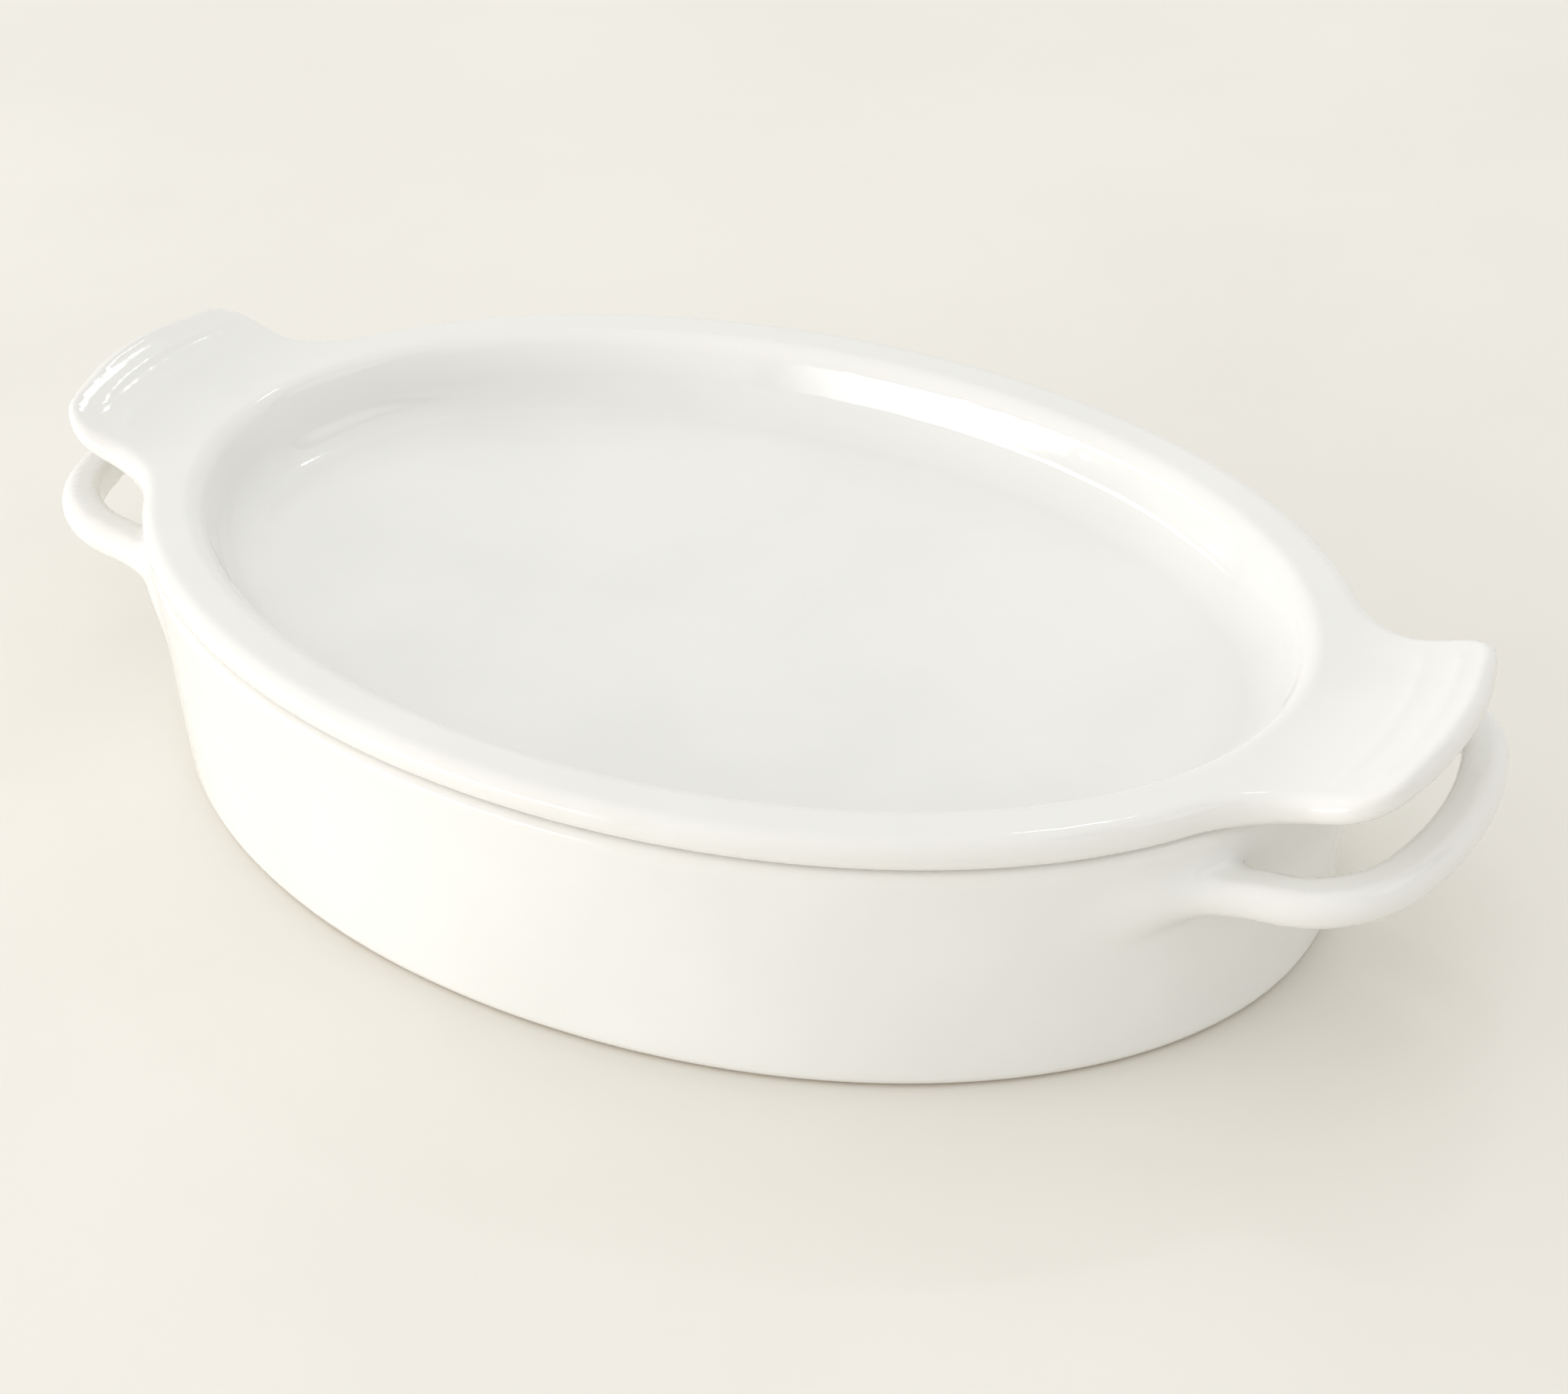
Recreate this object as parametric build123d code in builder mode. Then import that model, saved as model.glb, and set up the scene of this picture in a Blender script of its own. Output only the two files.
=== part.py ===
"""Covered oval casserole: a stoneware dish with two loop handles, and a platter lid with two tab handles."""
from build123d import *
import os

os.makedirs("parts", exist_ok=True)

# ---------------------------------------------------------------------------
# Driving dimensions (mm). X runs along the oval, Z is up, and Z = 0 is the
# surface that the dish stands on. Ovals are given as half length, half width.
# ---------------------------------------------------------------------------

# Dish
rim_oval = (180.5, 122.3)
foot_oval = (176.0, 122.5)
dish_height = 69.2
wall_thickness = 8.5
floor_thickness = 8.0
rim_outer_round = 4.0
rim_inner_round = 2.5
foot_edge_round = 4.0
cavity_corner_round = 16.0

# Foot ring: the underside is sunk inside this width
foot_ring_width = 11.0
foot_recess = 1.5

# Loop handles. The middle line of the bar lies in a plane that rises outwards from the root. It is four
# tangent stretches from the tip of the loop to its root inside the wall: three arcs, each with a radius and
# the degrees it turns, and a straight end. The last arc turns the other way and flares along the wall.
handle_reach = 218.2
handle_bar_width = 11.8
handle_bar_height = 10.6
handle_root_x = 150.0
handle_root_z = 51.6
handle_rise_angle = 5.2
handle_edge_round = 4.0
handle_tip_arc = (95.0, 18.0)
handle_shoulder_arc = (28.0, 72.0)
handle_flare_arc = (50.0, -19.0)
handle_root_length = 30.0
handle_wall_blend = 4.0

# Platter lid: the flat rim lies on the dish's rim with a hairline gap
lid_oval = (181.0, 122.5)
lid_thickness = 9.0
lid_rest_gap = 0.3
lid_edge_round = 3.2

# Well of the lid, measured at the top of its wall, which leans in by the draft on its way to the floor
well_oval = (163.8, 106.5)
well_depth = 20.0
well_draft = 7.0
well_wall_thickness = 7.0
well_corner_round = 8.0
well_lip_round = 4.0
well_hang_round = 3.0

# Tab handles: ears at both ends of the lid that curl upwards and thin out towards their tips. Both curls are
# a radius and the degrees it turns, and run on past the tab's tip, which is cut to the outline in plan.
tab_neck = (165.0, 40.6)
tab_corner = (203.2, 40.5)
tab_tip_radius = 95.0
tab_corner_round = 15.5
tab_neck_round = 27.0
tab_curl_start_x = 168.0
tab_top_curl = (81.0, 38.0)
tab_bottom_curl = (79.0, 42.0)

# Derived heights
lid_bottom_z = dish_height + lid_rest_gap
lid_top_z = lid_bottom_z + lid_thickness
lid_middle_z = lid_bottom_z + lid_thickness / 2
well_floor_z = lid_top_z - well_depth
well_underside_z = well_floor_z - well_wall_thickness
curl_height = 2 * lid_thickness


def oval(height, half_sizes, grown=0.0):
    """A level oval face, grown outwards (or shrunk, if negative) by one distance all round."""
    with BuildSketch(Plane.XY.offset(height)) as section:
        Ellipse(half_sizes[0] + grown, half_sizes[1] + grown)
    return section.sketch


def well_section(height, grown):
    """The well's oval at a height, leaning in with depth; grown gives its outer face."""
    inset = well_draft * (lid_top_z - height) / well_depth
    return oval(height, well_oval, grown - inset)


def edges_at(part, height, shortest):
    """The edges of a part that lie level at a height and are at least so long."""
    level = part.edges().filter_by_position(Axis.Z, height - 0.01, height + 0.01)
    return level.filter_by(lambda edge: edge.length > shortest)


# ---------------------------------------------------------------------------
# dish_base
# ---------------------------------------------------------------------------

handle_plane = Plane(Location((handle_root_x, 0, handle_root_z), (0, -handle_rise_angle, 0)))

with BuildPart() as handle_loop:
    with BuildLine(handle_plane) as bar:
        tip_radius, tip_turn = handle_tip_arc
        tip_centre_x = handle_reach - handle_root_x - handle_bar_width / 2 - tip_radius
        tip_arc = CenterArc((tip_centre_x, 0), tip_radius, 0, tip_turn)
        shoulder_arc = JernArc(tip_arc @ 1, tip_arc % 1, *handle_shoulder_arc)
        flare_arc = JernArc(shoulder_arc @ 1, shoulder_arc % 1, *handle_flare_arc)
        Line(flare_arc @ 1, flare_arc @ 1 + (flare_arc % 1) * handle_root_length)
        mirror(about=Plane.XZ)
    middle_line = bar.wire()
    with BuildSketch(Plane(origin=middle_line @ 0, x_dir=handle_plane.z_dir, z_dir=middle_line % 0)):
        RectangleRounded(handle_bar_height, handle_bar_width, handle_edge_round)
    sweep(path=middle_line)

with BuildPart() as dish_base:
    # Outer wall, widening from foot to rim
    loft(sections=[oval(0, foot_oval), oval(dish_height, rim_oval)], ruled=True)
    # Handles at both ends, blended into the wall
    add([handle_loop.part, mirror(handle_loop.part, about=Plane.YZ, mode=Mode.PRIVATE)])
    fillet(edges(Select.NEW), radius=handle_wall_blend)
    fillet(edges().group_by(Axis.Z)[0], radius=foot_edge_round)
    # Cavity
    cavity_floor = oval(floor_thickness, foot_oval, -wall_thickness)
    cavity_mouth = oval(dish_height, rim_oval, -wall_thickness)
    loft(sections=[cavity_floor, cavity_mouth], ruled=True, mode=Mode.SUBTRACT)
    fillet(edges_at(dish_base, floor_thickness, foot_oval[0]), radius=cavity_corner_round)
    # Rounded rim
    fillet(edges().group_by(Axis.Z)[-1].sort_by(SortBy.LENGTH)[0], radius=rim_inner_round)
    fillet(edges().group_by(Axis.Z)[-1].sort_by(SortBy.LENGTH)[-1], radius=rim_outer_round)
    # Foot ring
    extrude(oval(0, foot_oval, -foot_ring_width), amount=foot_recess, mode=Mode.SUBTRACT)

dish_base.part.label = "dish_base"
export_step(dish_base.part, "parts/dish_base.step")


# ---------------------------------------------------------------------------
# platter_lid
# ---------------------------------------------------------------------------

# Outline in plan, as a prism taller than the curl: the oval with a flared tab at each end
with BuildPart() as lid_outline:
    with BuildSketch(Plane.XY.offset(lid_bottom_z - curl_height)):
        Ellipse(*lid_oval)
        with BuildLine():
            side = Line((-tab_neck[0], tab_neck[1]), tab_neck)
            flare = Line(tab_neck, tab_corner)
            RadiusArc(tab_corner, (tab_corner[0], -tab_corner[1]), tab_tip_radius)
            mirror(side, about=Plane.XZ)
            mirror(flare, about=Plane.XZ)
            RadiusArc((-tab_corner[0], -tab_corner[1]), (-tab_corner[0], tab_corner[1]), tab_tip_radius)
            mirror(flare, about=Plane.YZ)
            mirror(mirror(flare, about=Plane.YZ, mode=Mode.PRIVATE), about=Plane.XZ)
        make_face()
    extrude(amount=lid_thickness + 2 * curl_height)
    tab_corners = edges().filter_by(Axis.Z).filter_by(lambda edge: abs(edge.center().X) > lid_oval[0])
    fillet(tab_corners, radius=tab_corner_round)
    tab_necks = edges().filter_by(Axis.Z).filter_by(lambda edge: abs(edge.center().X) < lid_oval[0])
    fillet(tab_necks, radius=tab_neck_round)

with BuildPart() as platter_lid:
    # Side view of the rim, flat in the middle and curling up at both ends, cut to the outline
    with BuildSketch(Plane.XZ):
        with BuildLine():
            lower_flat = Line((0, lid_bottom_z), (tab_curl_start_x, lid_bottom_z))
            lower_curl = JernArc(lower_flat @ 1, (1, 0), *tab_bottom_curl)
            upper_flat = Line((0, lid_top_z), (tab_curl_start_x, lid_top_z))
            upper_curl = JernArc(upper_flat @ 1, (1, 0), *tab_top_curl)
            Line(lower_curl @ 1, upper_curl @ 1)
            mirror(about=Plane.YZ)
        make_face()
    extrude(amount=lid_oval[1] + lid_thickness, both=True)
    add(lid_outline.part, mode=Mode.INTERSECT)
    # Rounded edges along the whole border, above and below
    across = edges().filter_by(Axis.Y, reverse=True)
    border = across.filter_by(lambda edge: abs(edge.tangent_at(0.5).Z) < 0.7)
    fillet(border, radius=lid_edge_round)
    # Well: an oval tray that hangs inside the dish, made solid and then hollowed
    tray = [well_section(lid_middle_z, well_wall_thickness), well_section(well_underside_z, well_wall_thickness)]
    loft(sections=tray, ruled=True)
    hollow = [well_section(lid_top_z, 0), well_section(well_floor_z, 0)]
    loft(sections=hollow, ruled=True, mode=Mode.SUBTRACT)
    fillet(edges_at(platter_lid, well_floor_z, lid_oval[0]), radius=well_corner_round)
    fillet(edges_at(platter_lid, well_underside_z, lid_oval[0]), radius=well_corner_round)
    fillet(edges_at(platter_lid, lid_top_z, 2 * lid_oval[0]), radius=well_lip_round)
    fillet(edges_at(platter_lid, lid_bottom_z, 4 * lid_oval[0]), radius=well_hang_round)

platter_lid.part.label = "platter_lid"
export_step(platter_lid.part, "parts/platter_lid.step")
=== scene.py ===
"""Looks for the covered oval casserole: a glazed stoneware dish and its platter lid on a pale table.

Both pieces are modelled here as smooth bodies in the part's own frame. Each body is a function that is
negative inside and positive outside, built from ovals and arcs with soft fillets. It is meshed on a grid, and
every vertex is then moved exactly onto the surface and given the surface's own normal.
"""

import math

import bpy
import numpy as np
from mathutils import Matrix, Vector


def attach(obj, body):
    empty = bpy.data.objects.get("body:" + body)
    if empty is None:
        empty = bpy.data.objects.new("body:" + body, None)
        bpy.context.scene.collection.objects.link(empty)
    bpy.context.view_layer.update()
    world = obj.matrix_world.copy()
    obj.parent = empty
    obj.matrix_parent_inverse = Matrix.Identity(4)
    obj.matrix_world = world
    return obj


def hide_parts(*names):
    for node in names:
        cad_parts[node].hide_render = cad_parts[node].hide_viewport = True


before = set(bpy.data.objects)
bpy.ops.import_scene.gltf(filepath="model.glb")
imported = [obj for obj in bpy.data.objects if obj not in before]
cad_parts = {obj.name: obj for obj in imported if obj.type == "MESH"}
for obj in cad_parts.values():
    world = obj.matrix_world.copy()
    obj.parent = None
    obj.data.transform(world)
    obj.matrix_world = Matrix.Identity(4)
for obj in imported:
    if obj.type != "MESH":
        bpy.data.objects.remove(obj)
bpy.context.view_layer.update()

# ---------------------------------------------------------------------------
# Dimensions in millimetres. X runs along the oval, Z is up, and Z = 0 is the table.
# ---------------------------------------------------------------------------

MM = 0.001

RIM_OVAL = (180.5, 122.3)
FOOT_OVAL = (176.0, 122.5)
DISH_HEIGHT = 69.2
WALL = 8.5
FLOOR = 8.0
RIM_OUTER_ROUND = 3.4
RIM_INNER_ROUND = 2.5
FOOT_EDGE_ROUND = 4.0
CAVITY_ROUND = 16.0
FOOT_RING_WIDTH = 11.0
FOOT_RECESS = 1.5
RECESS_EDGE_ROUND = 1.0

# The middle line of a loop handle lies in a plane that rises outwards from the root
HANDLE_REACH = 218.2
HANDLE_ROOT = (150.0, 51.6)
HANDLE_RISE = math.radians(5.2)
HANDLE_ARCS = ((95.0, 18.0), (28.0, 72.0), (50.0, -19.0))
HANDLE_END = 30.0
BAR_WIDTH = 11.8
BAR_HEIGHT = 10.6
BAR_EDGE_ROUND = 3.9
BAR_OUTER_ROUNDER = 1.3

# The fillet between handle and wall grows along the outer side of the root, between these places across
HANDLE_BLEND = 6.0
HANDLE_BLEND_GROWTH = 5.0
HANDLE_BLEND_SPAN = (54.0, 68.0)

LID_OVAL = (181.0, 122.5)
LID_TOP = 78.5
LID_MIDDLE = 74.0
LID_THICKNESS = 9.0
WELL_OVAL = (163.8, 106.5)
WELL_DEPTH = 20.0
WELL_DRAFT = 7.0
WELL_WALL = 7.0
WELL_CORNER_ROUND = 8.0
WELL_LIP_ROUND = 4.0
WELL_HANG_ROUND = 3.0

# The lid's border is rounder on top than below, and gets tighter towards the tips of the tabs
BORDER_TOP_ROUND = 4.4
BORDER_BOTTOM_ROUND = 3.4
BORDER_TIGHTENING = (1.5, 0.2)
BORDER_TIGHTENING_SPAN = (184.0, 204.0)

TAB_NECK = (165.0, 40.6)
TAB_CORNER = (206.0, 40.5)
TAB_TIP_RADIUS = 95.0
TAB_REACH = 212.0
TAB_CORNER_ROUND = 15.5
TAB_NECK_ROUND = 27.0
CURL_START = 168.0
CURL_RADIUS = 81.0
TAB_TIP_THICKNESS = 7.2

# Across the tab, where its border turns from the tip to the side
TAB_TIP_SPAN = (20.0, 38.0)

# Faint arc ridges on each tab: how far out the arc reaches, its height and its half width
TAB_RIDGES = ((192.5, 0.28, 2.0), (202.0, 0.34, 1.8))
RIDGE_ARC = 112.0
RIDGE_SPREAD = 31.0

# How far the hand-made surface stands back from the exact one
WAVE_REACH = 0.12


# ---------------------------------------------------------------------------
# Bodies as distance functions
# ---------------------------------------------------------------------------

def oval_distance(x, y, half_length, half_width):
    """Distance to an upright oval wall; the half sizes may vary from point to point."""
    scaled = np.hypot(x / half_length, y / half_width)
    slope = np.hypot(x / half_length ** 2, y / half_width ** 2) + 1e-9
    return scaled * (scaled - 1.0) / slope


def join(a, b, radius, together=0.0):
    """Both bodies at once, with a fillet in the crease.

    The last value is the cosine between the bodies' outward normals, which is 0 where they meet squarely.
    """
    near_a, near_b = a - radius, b - radius
    filleted = (near_a < together * near_b) & (near_b < together * near_a)
    reach = np.maximum(near_a ** 2 + near_b ** 2 - 2 * together * near_a * near_b, 0.0)
    return np.where(filleted, radius - np.sqrt(reach / (1 - together ** 2)), np.minimum(a, b))


def common(a, b, radius, together=0.0):
    """What two bodies share, with its edge rounded to this radius."""
    return -join(-a, -b, radius, together)


def ease(value, start, end):
    """A smooth step from 0 to 1."""
    share = np.clip((value - start) / (end - start), 0.0, 1.0)
    return share * share * (3 - 2 * share)


def arc_path_distance(u, v, start, arcs, end_length):
    """Distance to a path of tangent arcs with a straight end, positive on its outer side."""
    best = np.full(u.shape, 1e9)
    side = np.zeros(u.shape)
    point, heading = np.array(start, float), math.pi / 2
    for radius, turn in arcs:
        turn = math.radians(turn)
        bend = 1.0 if turn > 0 else -1.0
        to_centre = bend * np.array((-math.sin(heading), math.cos(heading)))
        centre = point + radius * to_centre
        du, dv = u - centre[0], v - centre[1]
        reach = np.hypot(du, dv)
        first = math.atan2(-to_centre[1], -to_centre[0])
        swept = bend * (np.arctan2(dv, du) - first)
        swept = (swept + math.pi) % (2 * math.pi) - math.pi
        within = (swept > -0.02) & (swept < abs(turn) + 0.02)
        away = bend * (reach - radius)
        closer = within & (np.abs(away) < best)
        best = np.where(closer, np.abs(away), best)
        side = np.where(closer, away, side)
        last = first + turn
        point = centre + radius * np.array((math.cos(last), math.sin(last)))
        heading += turn
    along = (u - point[0]) * math.cos(heading) + (v - point[1]) * math.sin(heading)
    across = (u - point[0]) * math.sin(heading) - (v - point[1]) * math.cos(heading)
    beyond = np.maximum(along - end_length, 0.0)
    gap = np.hypot(across, beyond)
    closer = (along > -0.5) & (gap < best)
    best = np.where(closer, gap, best)
    side = np.where(closer, np.sign(across) * gap, side)
    return np.where(best > 1e8, 80.0, side)


def waviness(x, y, z):
    """How far the surface stands back at a place, as clay shaped by hand does."""
    a = np.sin(x / 23.0 + 1.3 * np.sin(y / 31.0) + 0.7) * np.cos(y / 19.0 - 0.4 * np.sin(z / 17.0))
    b = np.sin(x / 41.0 - y / 29.0 + 2.1) * np.cos(z / 13.0 + x / 37.0)
    return WAVE_REACH * (0.5 + 0.25 * (a + b))


def handle_bar(x, y, z):
    """A loop handle's bar, for both ends at once."""
    out, up = np.abs(x) - HANDLE_ROOT[0], z - HANDLE_ROOT[1]
    u = out * math.cos(HANDLE_RISE) + up * math.sin(HANDLE_RISE)
    w = up * math.cos(HANDLE_RISE) - out * math.sin(HANDLE_RISE)
    tip = HANDLE_REACH - HANDLE_ROOT[0] - BAR_WIDTH / 2
    q = arc_path_distance(u, np.abs(y), (tip, 0.0), HANDLE_ARCS, HANDLE_END)
    corner = BAR_EDGE_ROUND + BAR_OUTER_ROUNDER * np.tanh(q / 3.0)
    wide = np.abs(q) - (BAR_WIDTH / 2 - corner)
    high = np.abs(w) - (BAR_HEIGHT / 2 - corner)
    outside = np.hypot(np.maximum(wide, 0.0), np.maximum(high, 0.0))
    return outside + np.minimum(np.maximum(wide, high), 0.0) - corner


def dish(x, y, z):
    """The stoneware dish with its two loop handles."""
    up = z / DISH_HEIGHT
    half_length = FOOT_OVAL[0] + (RIM_OVAL[0] - FOOT_OVAL[0]) * up
    half_width = FOOT_OVAL[1] + (RIM_OVAL[1] - FOOT_OVAL[1]) * up
    body = oval_distance(x, y, half_length, half_width)
    body = common(body, -z, FOOT_EDGE_ROUND)
    blend = HANDLE_BLEND + HANDLE_BLEND_GROWTH * ease(np.abs(y), *HANDLE_BLEND_SPAN)
    body = join(body, handle_bar(x, y, z), blend)
    body = common(body, z - DISH_HEIGHT, RIM_OUTER_ROUND)
    up = (z - FLOOR) / (DISH_HEIGHT - FLOOR)
    half_length = FOOT_OVAL[0] - WALL + (RIM_OVAL[0] - FOOT_OVAL[0]) * up
    half_width = FOOT_OVAL[1] - WALL + (RIM_OVAL[1] - FOOT_OVAL[1]) * up
    cavity = common(oval_distance(x, y, half_length, half_width), FLOOR - z, CAVITY_ROUND)
    body = common(body, -cavity, RIM_INNER_ROUND)
    recess = oval_distance(x, y, FOOT_OVAL[0] - FOOT_RING_WIDTH, FOOT_OVAL[1] - FOOT_RING_WIDTH)
    recess = np.maximum(recess, z - FOOT_RECESS)
    return common(body, -recess, RECESS_EDGE_ROUND) + waviness(x, y, z)


def curl(x, z):
    """Height over the lid's top surface, which curls up at both ends, and the thickness below it there."""
    out = np.maximum(np.abs(x) - CURL_START, 0.0)
    height = np.where(out > 0, CURL_RADIUS - np.hypot(out, LID_TOP + CURL_RADIUS - z), z - LID_TOP)
    thickness = LID_THICKNESS - (LID_THICKNESS - TAB_TIP_THICKNESS) * ease(out, 0.0, TAB_REACH - CURL_START)
    return height, thickness


def tab_ridges(out, across):
    """Height of the grip ridges on top of a tab."""
    height = np.zeros(out.shape)
    for reach, top, half_width in TAB_RIDGES:
        off = np.hypot(out - (reach - RIDGE_ARC), across) - RIDGE_ARC
        height += top * np.exp(-(off / half_width) ** 2)
    return height * (1.0 - ease(across, RIDGE_SPREAD - 5.0, RIDGE_SPREAD + 3.0)) * (out > CURL_START)


def lid_outline(x, y):
    """Plan of the lid: the oval with a tab at each end, whose corners and necks are round."""
    out, across = np.abs(x), np.abs(y)
    side_u, side_v = TAB_CORNER[0] - TAB_NECK[0], TAB_CORNER[1] - TAB_NECK[1]
    side = ((across - TAB_NECK[1]) * side_u - (out - TAB_NECK[0]) * side_v) / math.hypot(side_u, side_v)
    tip = np.hypot(out - (TAB_REACH - TAB_TIP_RADIUS), across) - TAB_TIP_RADIUS
    tab = common(side, tip, TAB_CORNER_ROUND, TAB_CORNER[1] / TAB_TIP_RADIUS)
    neck_x = LID_OVAL[0] * math.sqrt(1 - (TAB_NECK[1] / LID_OVAL[1]) ** 2)
    lean_x, lean_y = neck_x / LID_OVAL[0] ** 2, TAB_NECK[1] / LID_OVAL[1] ** 2
    return join(oval_distance(x, y, *LID_OVAL), tab, TAB_NECK_ROUND, lean_y / math.hypot(lean_x, lean_y))


def lid(x, y, z):
    """The platter lid with its well and its two tab handles."""
    out, across = np.abs(x), np.abs(y)
    plan = lid_outline(x, y)
    height, thickness = curl(x, z)
    tightness = ease(out, *BORDER_TIGHTENING_SPAN)
    top_round = BORDER_TOP_ROUND - BORDER_TIGHTENING[0] * tightness
    bottom_round = BORDER_BOTTOM_ROUND - BORDER_TIGHTENING[1] * tightness
    # The sine of the tab's slope, which is what its top and bottom lean towards the tip
    lean = np.clip((out - CURL_START) / CURL_RADIUS, 0.0, 0.6) * (1.0 - ease(across, *TAB_TIP_SPAN))
    upper = common(plan, height - tab_ridges(out, across), top_round, -lean)
    lower = common(plan, -height - thickness, bottom_round, lean)
    body = np.maximum(upper, lower)
    inset = WELL_DRAFT * (LID_TOP - z) / WELL_DEPTH
    tray = oval_distance(x, y, WELL_OVAL[0] + WELL_WALL - inset, WELL_OVAL[1] + WELL_WALL - inset)
    floor_z = LID_TOP - WELL_DEPTH
    tray = common(tray, floor_z - WELL_WALL - z, WELL_CORNER_ROUND)
    tray = np.maximum(tray, z - LID_MIDDLE)
    body = join(body, tray, WELL_HANG_ROUND)
    well = oval_distance(x, y, WELL_OVAL[0] - inset, WELL_OVAL[1] - inset)
    well = common(well, floor_z - z, WELL_CORNER_ROUND)
    return common(body, -well, WELL_LIP_ROUND) + waviness(x, y, z)


# ---------------------------------------------------------------------------
# Meshing
# ---------------------------------------------------------------------------

def gradient(field, points):
    """The field's slope at each point, by central differences."""
    step = 0.02
    slope = np.empty_like(points)
    for axis in range(3):
        ahead, behind = points.copy(), points.copy()
        ahead[:, axis] += step
        behind[:, axis] -= step
        slope[:, axis] = (field(*ahead.T) - field(*behind.T)) / (2 * step)
    return slope


def surface(field, low, high, pitch):
    """Vertices, quads and normals of a field's zero level: one vertex in every grid cell that it crosses."""
    axes = [np.arange(a - pitch * 1.37, b + pitch * 1.6, pitch) for a, b in zip(low, high)]
    values = field(*np.meshgrid(*axes, indexing="ij"))
    inside = values < 0
    corners = [(i, j, k) for i in (0, 1) for j in (0, 1) for k in (0, 1)]
    cells = tuple(n - 1 for n in values.shape)
    count = np.zeros(cells, int)
    for i, j, k in corners:
        count += inside[i:i + cells[0], j:j + cells[1], k:k + cells[2]]
    active = np.argwhere((count > 0) & (count < 8))
    number = np.full(cells, -1)
    number[tuple(active.T)] = np.arange(len(active))
    total = np.zeros((len(active), 3))
    hits = np.zeros(len(active))
    for corner in corners:
        for axis in range(3):
            if corner[axis]:
                continue
            a = active + corner
            b = a.copy()
            b[:, axis] += 1
            value_a, value_b = values[tuple(a.T)], values[tuple(b.T)]
            crossed = (value_a < 0) != (value_b < 0)
            share = np.where(crossed, value_a / np.where(crossed, value_a - value_b, 1.0), 0.0)
            place = np.tile(np.array(corner, float), (len(active), 1))
            place[:, axis] += share
            total += place * crossed[:, None]
            hits += crossed
    start = np.array([axis[0] for axis in axes])
    points = start + (active + total / hits[:, None]) * pitch
    quads = []
    for axis in range(3):
        first = [slice(None)] * 3
        second = [slice(None)] * 3
        first[axis], second[axis] = slice(0, -1), slice(1, None)
        a, b = inside[tuple(first)], inside[tuple(second)]
        edges = np.argwhere(a != b)
        leaving = a[tuple(edges.T)]
        u, v = (axis + 1) % 3, (axis + 2) % 3
        ring = []
        for du, dv in ((-1, -1), (0, -1), (0, 0), (-1, 0)):
            cell = edges.copy()
            cell[:, u] += du
            cell[:, v] += dv
            ring.append(number[tuple(cell.T)])
        ring = np.stack(ring, 1)
        ring[~leaving] = ring[~leaving][:, ::-1]
        quads.append(ring)
    for _ in range(5):
        slope = gradient(field, points)
        step = field(*points.T)[:, None] * slope / np.maximum((slope ** 2).sum(1), 0.2)[:, None]
        points -= np.clip(step, -pitch, pitch)
    normals = gradient(field, points)
    normals /= np.linalg.norm(normals, axis=1)[:, None]
    return points, np.concatenate(quads), normals


def thin_glaze(field, points, normals):
    """How sharply the surface bulges at each vertex: 1 on tight edges, 0 on flat and hollow places."""
    reach = 2.2
    side = np.cross(normals, np.where(np.abs(normals[:, 2:]) < 0.8, (0.0, 0.0, 1.0), (1.0, 0.0, 0.0)))
    side /= np.linalg.norm(side, axis=1)[:, None]
    other = np.cross(normals, side)
    drop = [field(*(points + reach * way).T) for way in (side, -side, other, -other)]
    bulge = np.max([drop[0] + drop[1], drop[2] + drop[3]], axis=0) / reach ** 2
    return np.clip((bulge - 0.09) / 0.14, 0.0, 1.0)


def piece(name, field, low, high, pitch):
    """A body of the object as a smooth mesh."""
    points, quads, normals = surface(field, low, high, pitch)
    mesh = bpy.data.meshes.new(name)
    mesh.vertices.add(len(points))
    mesh.vertices.foreach_set("co", (points * MM).ravel())
    mesh.loops.add(quads.size)
    mesh.loops.foreach_set("vertex_index", quads.ravel())
    mesh.polygons.add(len(quads))
    mesh.polygons.foreach_set("loop_start", np.arange(0, quads.size, 4))
    mesh.update(calc_edges=True)
    mesh.validate()
    mesh.polygons.foreach_set("use_smooth", np.ones(len(mesh.polygons), bool))
    mesh.normals_split_custom_set_from_vertices(normals)
    thin = mesh.attributes.new("thin_glaze", "FLOAT", "POINT")
    thin.data.foreach_set("value", thin_glaze(field, points, normals))
    obj = bpy.data.objects.new(name, mesh)
    bpy.context.scene.collection.objects.link(obj)
    return obj


# Boxes that hold each body, and the pitch of its grid
dish_piece = piece("dish_glazed", dish, (-219, -123, 0), (219, 123, 69.2), 1.8)
lid_piece = piece("lid_glazed", lid, (-213, -123, 51.5), (213, 123, 92), 1.5)


# ---------------------------------------------------------------------------
# Materials
# ---------------------------------------------------------------------------

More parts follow.
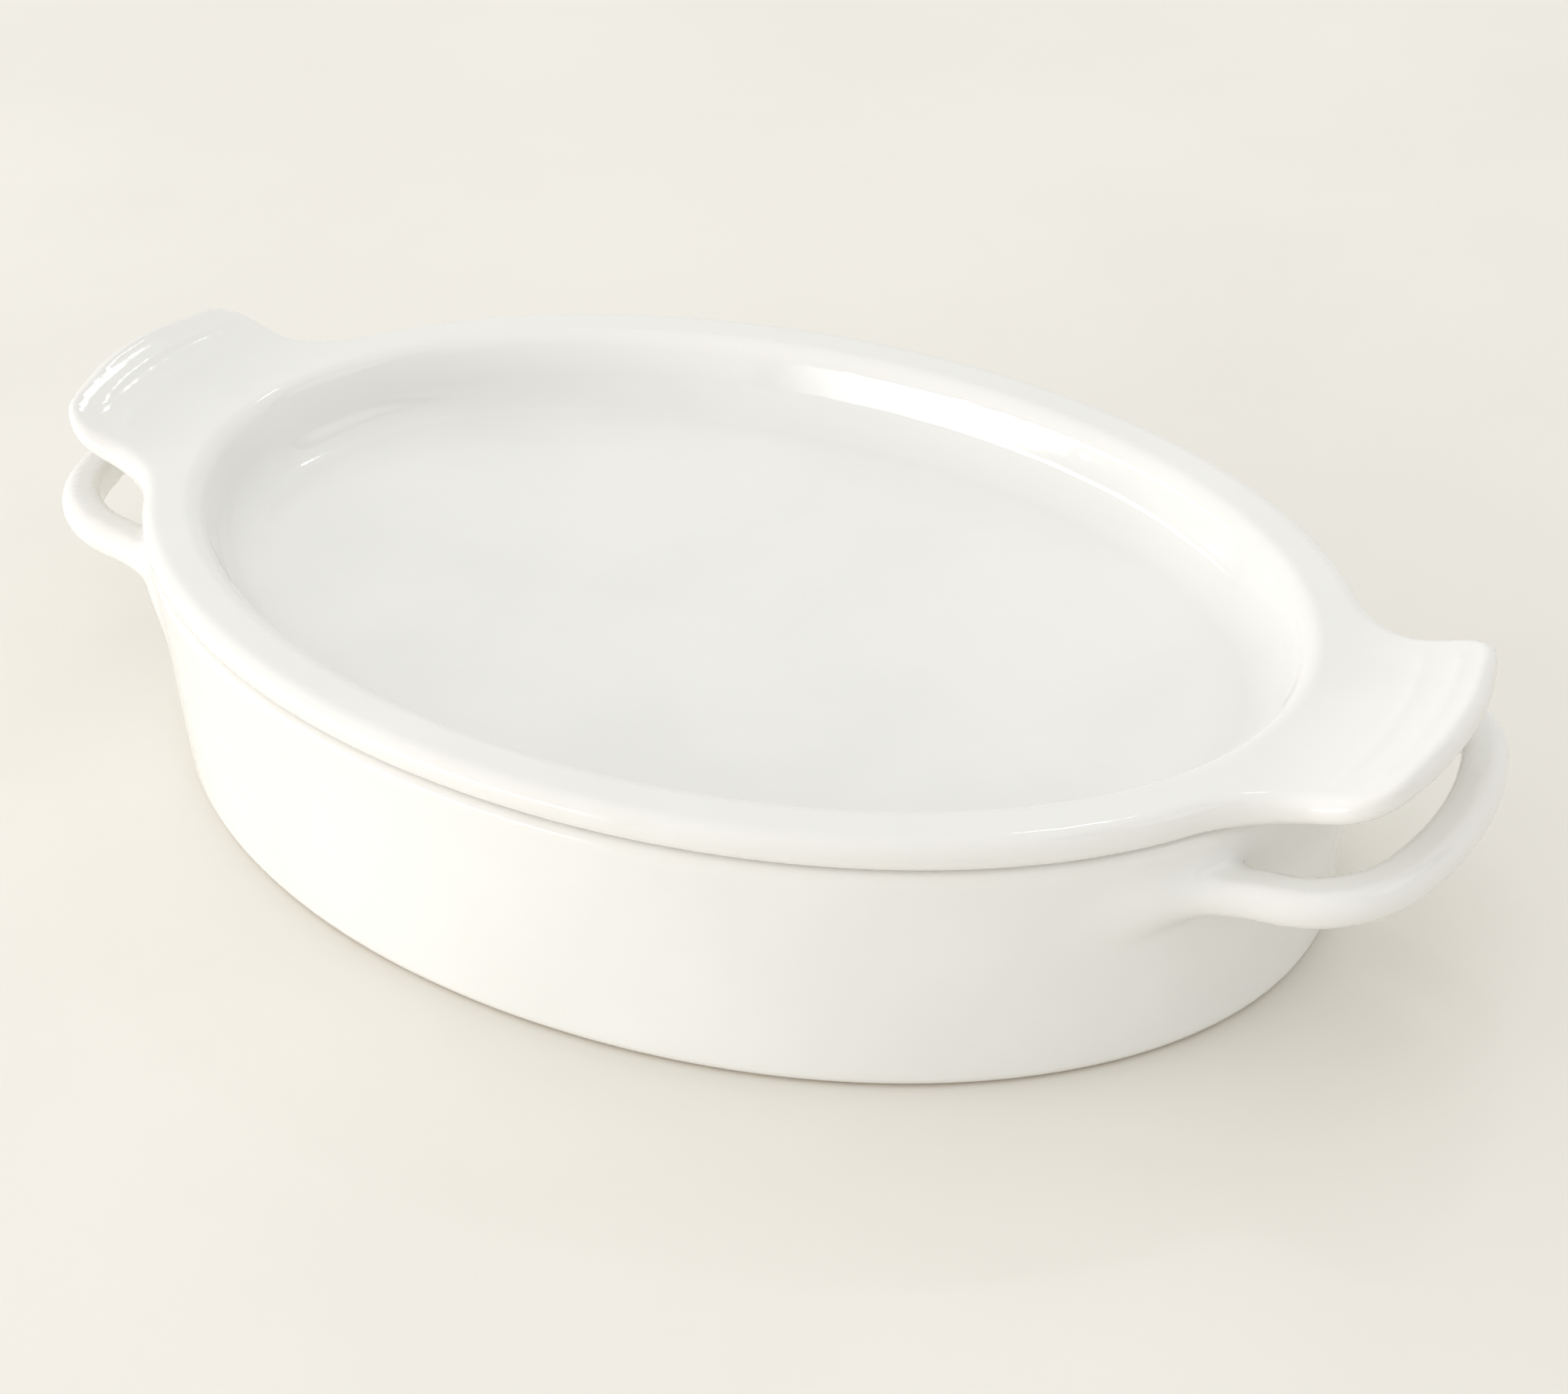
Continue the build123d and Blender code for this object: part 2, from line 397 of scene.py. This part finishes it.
class Graph:
    """Shorthand for building a shader node tree."""

    def __init__(self, tree):
        self.nodes, self.links = tree.nodes, tree.links

    def put(self, target, value):
        if isinstance(value, bpy.types.NodeSocket):
            self.links.new(value, target)
        else:
            target.default_value = value

    def math(self, operation, a, b=0.0):
        node = self.nodes.new("ShaderNodeMath")
        node.operation = operation
        self.put(node.inputs[0], a)
        self.put(node.inputs[1], b)
        return node.outputs[0]

    def step(self, value, start, end, low=0.0, high=1.0):
        """A smooth ramp of a value between two places."""
        node = self.nodes.new("ShaderNodeMapRange")
        node.interpolation_type = "SMOOTHSTEP"
        self.put(node.inputs["Value"], value)
        for key, number in (("From Min", start), ("From Max", end), ("To Min", low), ("To Max", high)):
            node.inputs[key].default_value = number
        return node.outputs["Result"]

    def noise(self, vector, scale, detail=2.0):
        node = self.nodes.new("ShaderNodeTexNoise")
        self.put(node.inputs["Vector"], vector)
        node.inputs["Scale"].default_value = scale
        node.inputs["Detail"].default_value = detail
        return node.outputs["Fac"]

    def blend(self, share, a, b):
        node = self.nodes.new("ShaderNodeMix")
        node.data_type = "RGBA"
        self.put(node.inputs[0], share)
        self.put(node.inputs[6], a)
        self.put(node.inputs[7], b)
        return node.outputs[2]

    def bump(self, height, distance, normal=None):
        node = self.nodes.new("ShaderNodeBump")
        node.inputs["Distance"].default_value = distance
        self.put(node.inputs["Height"], height)
        if normal is not None:
            self.put(node.inputs["Normal"], normal)
        return node.outputs["Normal"]


def glaze_material():
    """White glaze with pinholes, creamier where it runs thin over edges, and a bare biscuit foot ring."""
    material = bpy.data.materials.new("white_glaze")
    material.use_nodes = True
    graph = Graph(material.node_tree)
    shader = graph.nodes["Principled BSDF"]
    place = graph.nodes.new("ShaderNodeTexCoord").outputs["Object"]
    height = graph.nodes.new("ShaderNodeSeparateXYZ")
    graph.put(height.inputs[0], place)
    height = height.outputs["Z"]

    # The white drifts slightly, and turns creamier where the glaze has run thin over an edge
    cloud = graph.step(graph.noise(place, 14.0, 3.0), 0.35, 0.65)
    colour = graph.blend(cloud, (0.875, 0.872, 0.845, 1), (0.845, 0.843, 0.812, 1))
    thin = graph.nodes.new("ShaderNodeAttribute")
    thin.attribute_name = "thin_glaze"
    patchy = graph.step(graph.noise(place, 60.0), 0.3, 0.7, 0.55, 1.0)
    thin = graph.math("MULTIPLY", thin.outputs["Fac"], patchy)
    colour = graph.blend(thin, colour, (0.85, 0.834, 0.795, 1))

    # A few pinholes
    spots = graph.nodes.new("ShaderNodeTexVoronoi")
    spots.inputs["Scale"].default_value = 48.0
    graph.put(spots.inputs["Vector"], place)
    chance = graph.nodes.new("ShaderNodeSeparateColor")
    graph.put(chance.inputs[0], spots.outputs["Color"])
    speck = graph.math("MULTIPLY", graph.step(spots.outputs["Distance"], 0.011, 0.018, 1.0, 0.0),
                       graph.math("GREATER_THAN", chance.outputs[0], 0.86))
    colour = graph.blend(graph.math("MULTIPLY", speck, 0.75), colour, (0.3, 0.25, 0.2, 1))

    # Bare ring where the dish stands, with a slightly wandering glaze line
    line = graph.math("ADD", height, graph.math("MULTIPLY", graph.noise(place, 110.0), 0.0005))
    bare = graph.step(line, 0.0009, 0.0012, 1.0, 0.0)
    grain = graph.step(graph.noise(place, 900.0, 4.0), 0.3, 0.7)
    biscuit = graph.blend(grain, (0.60, 0.50, 0.38, 1), (0.70, 0.61, 0.49, 1))
    graph.put(shader.inputs["Base Color"], graph.blend(bare, colour, biscuit))

    gloss = graph.step(graph.noise(place, 35.0, 3.0), 0.3, 0.7, 0.055, 0.085)
    rough = graph.math("ADD", gloss, graph.math("MULTIPLY", bare, 0.7))
    graph.put(shader.inputs["Roughness"], rough)
    shader.inputs["IOR"].default_value = 1.52

    # Orange peel of the glaze, pits at the pinholes and grain on the bare ring
    normal = graph.bump(graph.noise(place, 170.0, 1.0), 0.00006)
    normal = graph.bump(graph.noise(place, 46.0, 1.0), 0.00022, normal)
    normal = graph.bump(graph.math("MULTIPLY", speck, -1.0), 0.0001, normal)
    normal = graph.bump(graph.math("MULTIPLY", grain, bare), 0.00012, normal)
    graph.put(shader.inputs["Normal"], normal)
    return material


glaze = glaze_material()
for obj, body, node in ((dish_piece, "dish", "dish_base"), (lid_piece, "lid", "platter_lid")):
    obj.data.materials.append(glaze)
    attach(obj, body)
    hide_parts(node)


# ---------------------------------------------------------------------------
# Table, light and camera
# ---------------------------------------------------------------------------

def table_material():
    """A plain pale stone top with a dull polish."""
    material = bpy.data.materials.new("table")
    material.use_nodes = True
    graph = Graph(material.node_tree)
    shader = graph.nodes["Principled BSDF"]
    place = graph.nodes.new("ShaderNodeTexCoord").outputs["Object"]
    cloud = graph.step(graph.noise(place, 5.0, 4.0), 0.3, 0.7)
    colour = graph.blend(cloud, (0.87, 0.845, 0.785, 1), (0.84, 0.815, 0.755, 1))
    graph.put(shader.inputs["Base Color"], colour)
    shader.inputs["Roughness"].default_value = 0.35
    return material


def flat_piece(name, width, height):
    """A rectangle in its own XY plane."""
    mesh = bpy.data.meshes.new(name)
    w, h = width / 2, height / 2
    mesh.from_pydata([(-w, -h, 0), (w, -h, 0), (w, h, 0), (-w, h, 0)], [], [(0, 1, 2, 3)])
    obj = bpy.data.objects.new(name, mesh)
    bpy.context.scene.collection.objects.link(obj)
    return obj


def aim(obj, azimuth, elevation, distance, target=(0.0, 0.0, 0.05)):
    """Stands something at a bearing from the dish, in degrees anticlockwise from +X, and turns it inwards."""
    a, e = math.radians(azimuth), math.radians(elevation)
    way = Vector((math.cos(a) * math.cos(e), math.sin(a) * math.cos(e), math.sin(e)))
    obj.location = Vector(target) + way * distance
    obj.rotation_euler = (-way).to_track_quat("-Z", "Y").to_euler()


def soft_box(name, azimuth, elevation, distance, width, height, radiance, fade, colour=(1, 1, 1, 1)):
    """A glowing panel whose brightness fades out over a share of its half size."""
    obj = flat_piece(name, width, height)
    aim(obj, azimuth, elevation, distance)
    material = bpy.data.materials.new(name)
    material.use_nodes = True
    graph = Graph(material.node_tree)
    graph.nodes.clear()
    place = graph.nodes.new("ShaderNodeSeparateXYZ")
    graph.put(place.inputs[0], graph.nodes.new("ShaderNodeTexCoord").outputs["Object"])
    share = 1.0
    for axis, half in (("X", width / 2), ("Y", height / 2)):
        across = graph.math("ABSOLUTE", place.outputs[axis])
        share = graph.math("MULTIPLY", graph.step(across, half * (1 - fade), half, 1.0, 0.0), share)
    glow = graph.nodes.new("ShaderNodeEmission")
    glow.inputs["Color"].default_value = colour
    graph.put(glow.inputs["Strength"], graph.math("MULTIPLY", share, radiance))
    graph.put(graph.nodes.new("ShaderNodeOutputMaterial").inputs["Surface"], glow.outputs[0])
    obj.data.materials.append(material)
    obj.visible_camera = False
    return obj


table = flat_piece("table", 8.0, 8.0)
table.data.materials.append(table_material())

# A room that is a little brighter overhead
world = bpy.data.worlds.new("studio")
bpy.context.scene.world = world
world.use_nodes = True
room = Graph(world.node_tree)
sky = room.nodes.new("ShaderNodeSeparateXYZ")
room.put(sky.inputs[0], room.nodes.new("ShaderNodeTexCoord").outputs["Generated"])
room.nodes["Background"].inputs["Color"].default_value = (1.0, 0.995, 0.975, 1)
room.put(room.nodes["Background"].inputs["Strength"], room.step(sky.outputs["Z"], 0.1, 0.9, 0.86, 1.0))

# A wide low window to the left and front, a weak fill from the right, and a small bright pane behind
soft_box("window_left", -138, 7.5, 1.9, 3.2, 0.5, 8.9, 0.6, (1.0, 0.98, 0.985, 1))
soft_box("fill_right", 10, 45, 2.0, 2.0, 1.4, 1.5, 0.6)
soft_box("pane_behind", 105, 52, 1.8, 0.15, 0.05, 26.0, 0.1)

camera_data = bpy.data.cameras.new("camera")
camera_data.sensor_width = 36.0
camera_data.lens = 67.43
camera_data.shift_x = 0.009
camera = bpy.data.objects.new("camera", camera_data)
camera.location = (0.3647, -0.5816, 0.5035)
azimuth, elevation, roll = math.radians(31.236), math.radians(34.864), -0.0374
turned = Matrix.Rotation(azimuth, 4, "Z") @ Matrix.Rotation(math.pi / 2 - elevation, 4, "X")
camera.rotation_euler = (turned @ Matrix.Rotation(roll, 4, "Z")).to_euler()
bpy.context.scene.collection.objects.link(camera)
bpy.context.scene.camera = camera
bpy.context.scene.view_settings.view_transform = "Standard"
